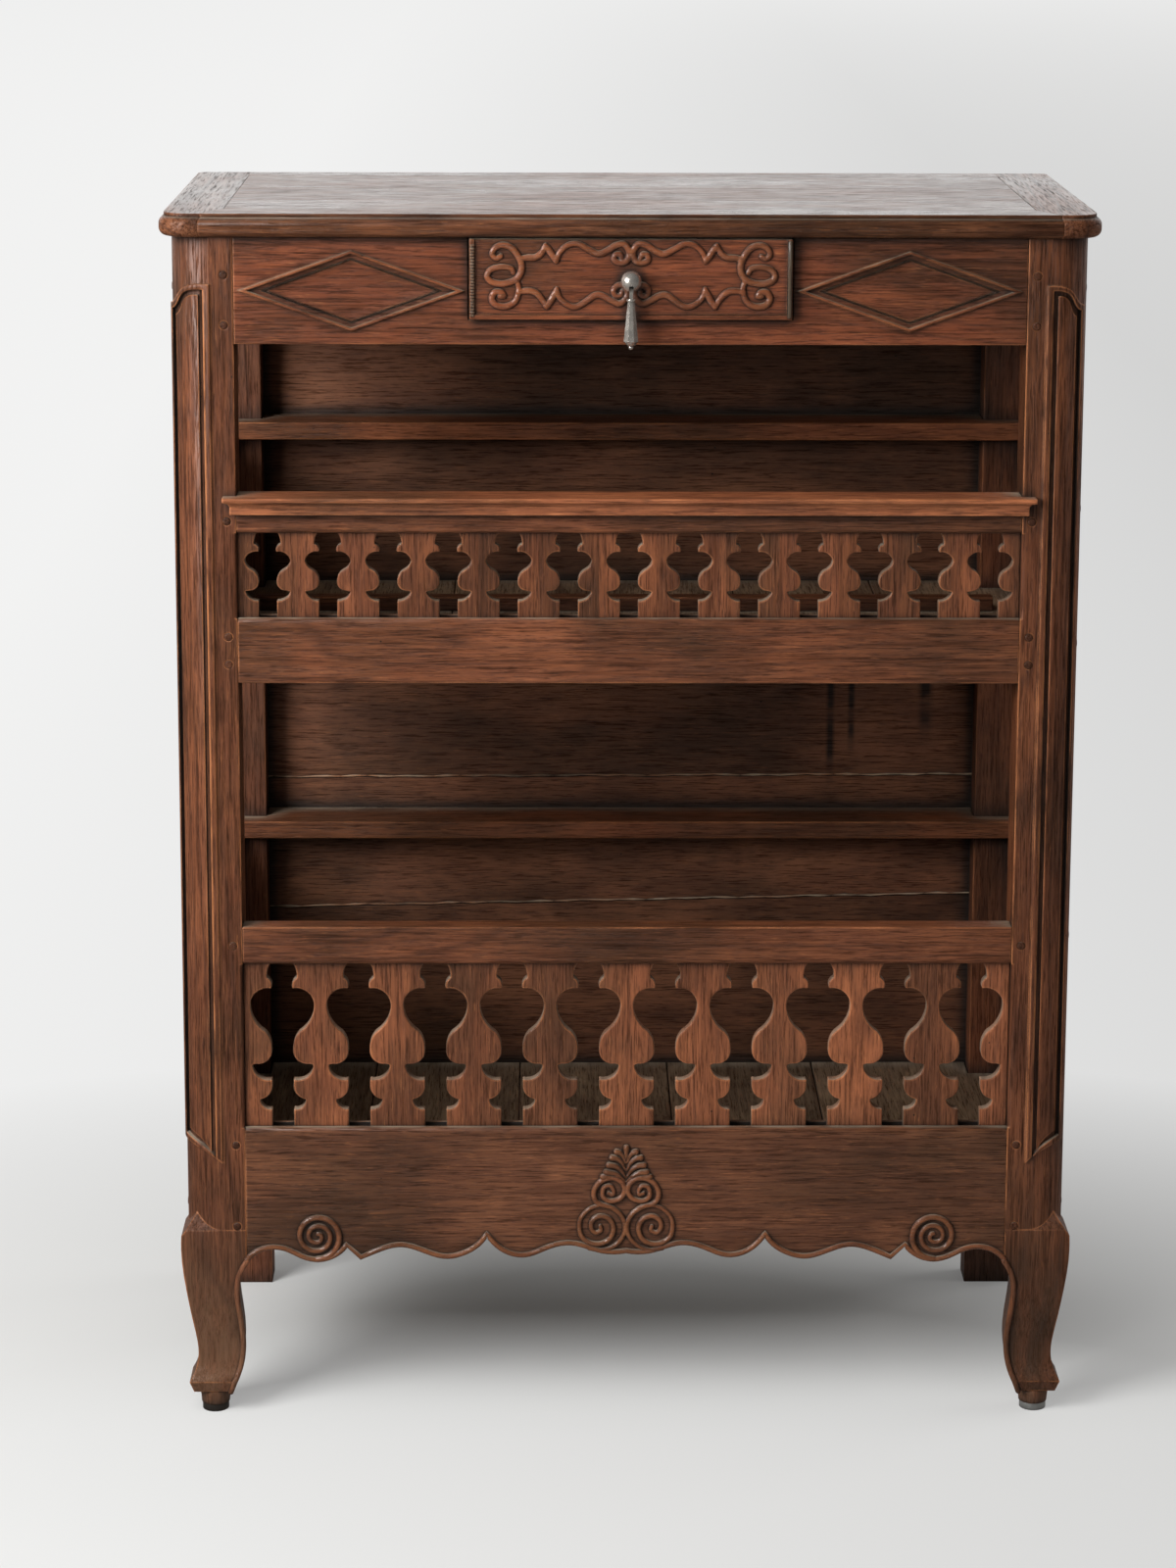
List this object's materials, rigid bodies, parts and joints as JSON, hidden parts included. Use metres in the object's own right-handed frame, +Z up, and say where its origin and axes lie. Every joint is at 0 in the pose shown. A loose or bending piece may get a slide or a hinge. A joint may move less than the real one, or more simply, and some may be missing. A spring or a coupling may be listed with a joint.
{
  "type": "kitchen dresser",
  "caption": "Low open oak dresser with sawn fretwork galleries, scalloped carved apron, cabriole front legs and a small frieze drawer with a drop pull.",
  "frame": {"origin": "on the floor under the middle of the bounding box", "axes": "+X to the viewer's right, +Y to the back, +Z up; the drawer opens along -Y"},
  "size_m": [1.083, 0.5298, 1.46],
  "materials": {
    "waxed_oak": "waxed satin",
    "top_oak": "waxed satin, rubbed",
    "inner_oak": "dull, unpolished",
    "pewter": "worn satin",
    "glide_steel": "satin"
  },
  "bodies": {
    "carcass": {"apron": "waxed_oak", "back_board_1": "inner_oak", "back_board_2": "inner_oak", "back_board_3": "inner_oak", "back_board_4": "inner_oak", "back_board_5": "inner_oak", "foot_glides": "glide_steel", "foot_pads": "waxed_oak", "frieze_rail": "waxed_oak", "joint_pegs": "waxed_oak", "left_drawer_runner": "inner_oak", "left_front_post": "waxed_oak", "left_rear_post": "waxed_oak", "left_side_bottom_rail": "waxed_oak", "left_side_lower_board": "waxed_oak", "left_side_lower_gallery_rail": "waxed_oak", "left_side_shelf_rail": "waxed_oak", "left_side_top_rail": "waxed_oak", "left_side_upper_board": "waxed_oak", "left_side_upper_gallery_rail": "waxed_oak", "lower_gallery_rail": "waxed_oak", "lower_ledge": "waxed_oak", "lower_shelf_boards": "inner_oak", "lower_splats": "waxed_oak", "rear_bottom_rail": "inner_oak", "rear_shelf_rail": "inner_oak", "rear_top_rail": "inner_oak", "right_drawer_runner": "inner_oak", "right_front_post": "waxed_oak", "right_rear_post": "waxed_oak", "right_side_bottom_rail": "waxed_oak", "right_side_lower_board": "waxed_oak", "right_side_lower_gallery_rail": "waxed_oak", "right_side_shelf_rail": "waxed_oak", "right_side_top_rail": "waxed_oak", "right_side_upper_board": "waxed_oak", "right_side_upper_gallery_rail": "waxed_oak", "shelf_stop": "waxed_oak", "top_back_rail": "top_oak", "top_front_rail": "top_oak", "top_left_cleat": "top_oak", "top_plank_1": "top_oak", "top_plank_2": "top_oak", "top_plank_3": "top_oak", "top_right_cleat": "top_oak", "upper_gallery_cap": "waxed_oak", "upper_gallery_rail": "waxed_oak", "upper_ledge": "waxed_oak", "upper_shelf_boards": "inner_oak", "upper_shelf_rail": "waxed_oak", "upper_splats": "waxed_oak"},
    "drawer": {"drawer_back": "inner_oak", "drawer_bottom": "inner_oak", "drawer_front": "waxed_oak", "drawer_left_side": "inner_oak", "drawer_right_side": "inner_oak", "pull_ball": "pewter", "pull_nut": "pewter", "pull_pin": "pewter"},
    "drop": {"pull_drop": "pewter"}
  },
  "joints": [
    {"name": "drawer_slide", "type": "slide", "parent": "carcass", "child": "drawer", "axis": [0, -1, 0], "range_m": [0, 0.28]},
    {"name": "drop_swing", "type": "hinge", "parent": "drawer", "child": "drop", "pos_m": [0, -0.2531, 1.3767], "axis": [-1, 0, 0], "range_deg": [0, 80]}
  ]
}
